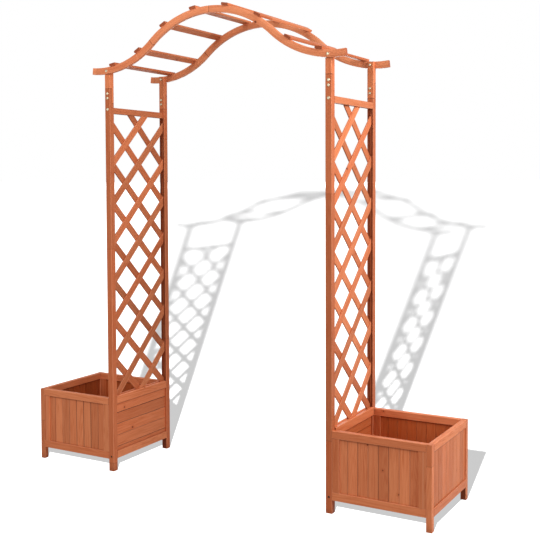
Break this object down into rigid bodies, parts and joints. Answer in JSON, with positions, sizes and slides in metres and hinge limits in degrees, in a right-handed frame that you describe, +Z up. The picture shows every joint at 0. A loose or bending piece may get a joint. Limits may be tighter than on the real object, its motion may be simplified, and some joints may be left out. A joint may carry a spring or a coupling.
{
  "type": "rose arch with planters",
  "caption": "Wooden garden rose arch: ogee beams with cross slats on two lattice trellis towers, each rising from a slatted planter box.",
  "frame": {"origin": "on the ground, in the middle of the passage, between the two towers", "axes": "+X along the arch to the right, +Y from the front to the rear, +Z up"},
  "size_m": [1.8, 0.422, 1.893],
  "materials": {
    "post_wood": "fir with an orange-brown stain, satin",
    "rail_wood": "fir with an orange-brown stain, satin",
    "board_wood": "fir with an orange-brown stain, satin",
    "lattice_wood": "fir with an orange-brown stain, satin",
    "beam_wood": "fir with an orange-brown stain, satin",
    "slat_wood": "fir with an orange-brown stain, satin",
    "floor_wood": "fir with an orange-brown stain, satin",
    "dowel_wood": "bare beech",
    "bolt_steel": "bright nickel plating",
    "plate_steel": "zinc plating"
  },
  "bodies": {
    "root": {"tall_post_left_front": "post_wood", "tall_post_left_rear": "post_wood", "tall_post_right_front": "post_wood", "tall_post_right_rear": "post_wood", "connector_left_front": "post_wood", "connector_left_rear": "post_wood", "connector_right_front": "post_wood", "connector_right_rear": "post_wood", "trellis_rail_left": "rail_wood", "trellis_rail_right": "rail_wood", "lattice_inner_left": "lattice_wood", "lattice_inner_right": "lattice_wood", "lattice_outer_left": "lattice_wood", "lattice_outer_right": "lattice_wood", "passage_rim_rail_left": "rail_wood", "passage_rim_rail_right": "rail_wood", "passage_boards_left": "board_wood", "passage_boards_right": "board_wood", "passage_bottom_rail_left": "rail_wood", "passage_bottom_rail_right": "rail_wood", "corner_post_left_front": "post_wood", "corner_post_left_rear": "post_wood", "corner_post_right_front": "post_wood", "corner_post_right_rear": "post_wood", "outer_top_rail_left": "rail_wood", "outer_top_rail_right": "rail_wood", "outer_bottom_rail_left": "rail_wood", "outer_bottom_rail_right": "rail_wood", "outer_boards_left": "board_wood", "outer_boards_right": "board_wood", "front_top_rail_left": "rail_wood", "front_bottom_rail_left": "rail_wood", "front_stiles_left": "rail_wood", "front_boards_left": "board_wood", "front_top_rail_right": "rail_wood", "front_bottom_rail_right": "rail_wood", "front_stiles_right": "rail_wood", "front_boards_right": "board_wood", "rear_top_rail_left": "rail_wood", "rear_bottom_rail_left": "rail_wood", "rear_stiles_left": "rail_wood", "rear_boards_left": "board_wood", "rear_top_rail_right": "rail_wood", "rear_bottom_rail_right": "rail_wood", "rear_stiles_right": "rail_wood", "rear_boards_right": "board_wood", "floor_boards_left": "floor_wood", "floor_boards_right": "floor_wood", "floor_battens": "floor_wood", "beam_left_front": "beam_wood", "beam_left_rear": "beam_wood", "beam_right_front": "beam_wood", "beam_right_rear": "beam_wood", "cross_slats": "slat_wood", "splice_plates": "plate_steel", "dome_bolts": "bolt_steel", "cap_nuts": "bolt_steel", "rail_screws": "bolt_steel", "wood_screws": "plate_steel", "dowels": "dowel_wood"}
  },
  "joints": []
}
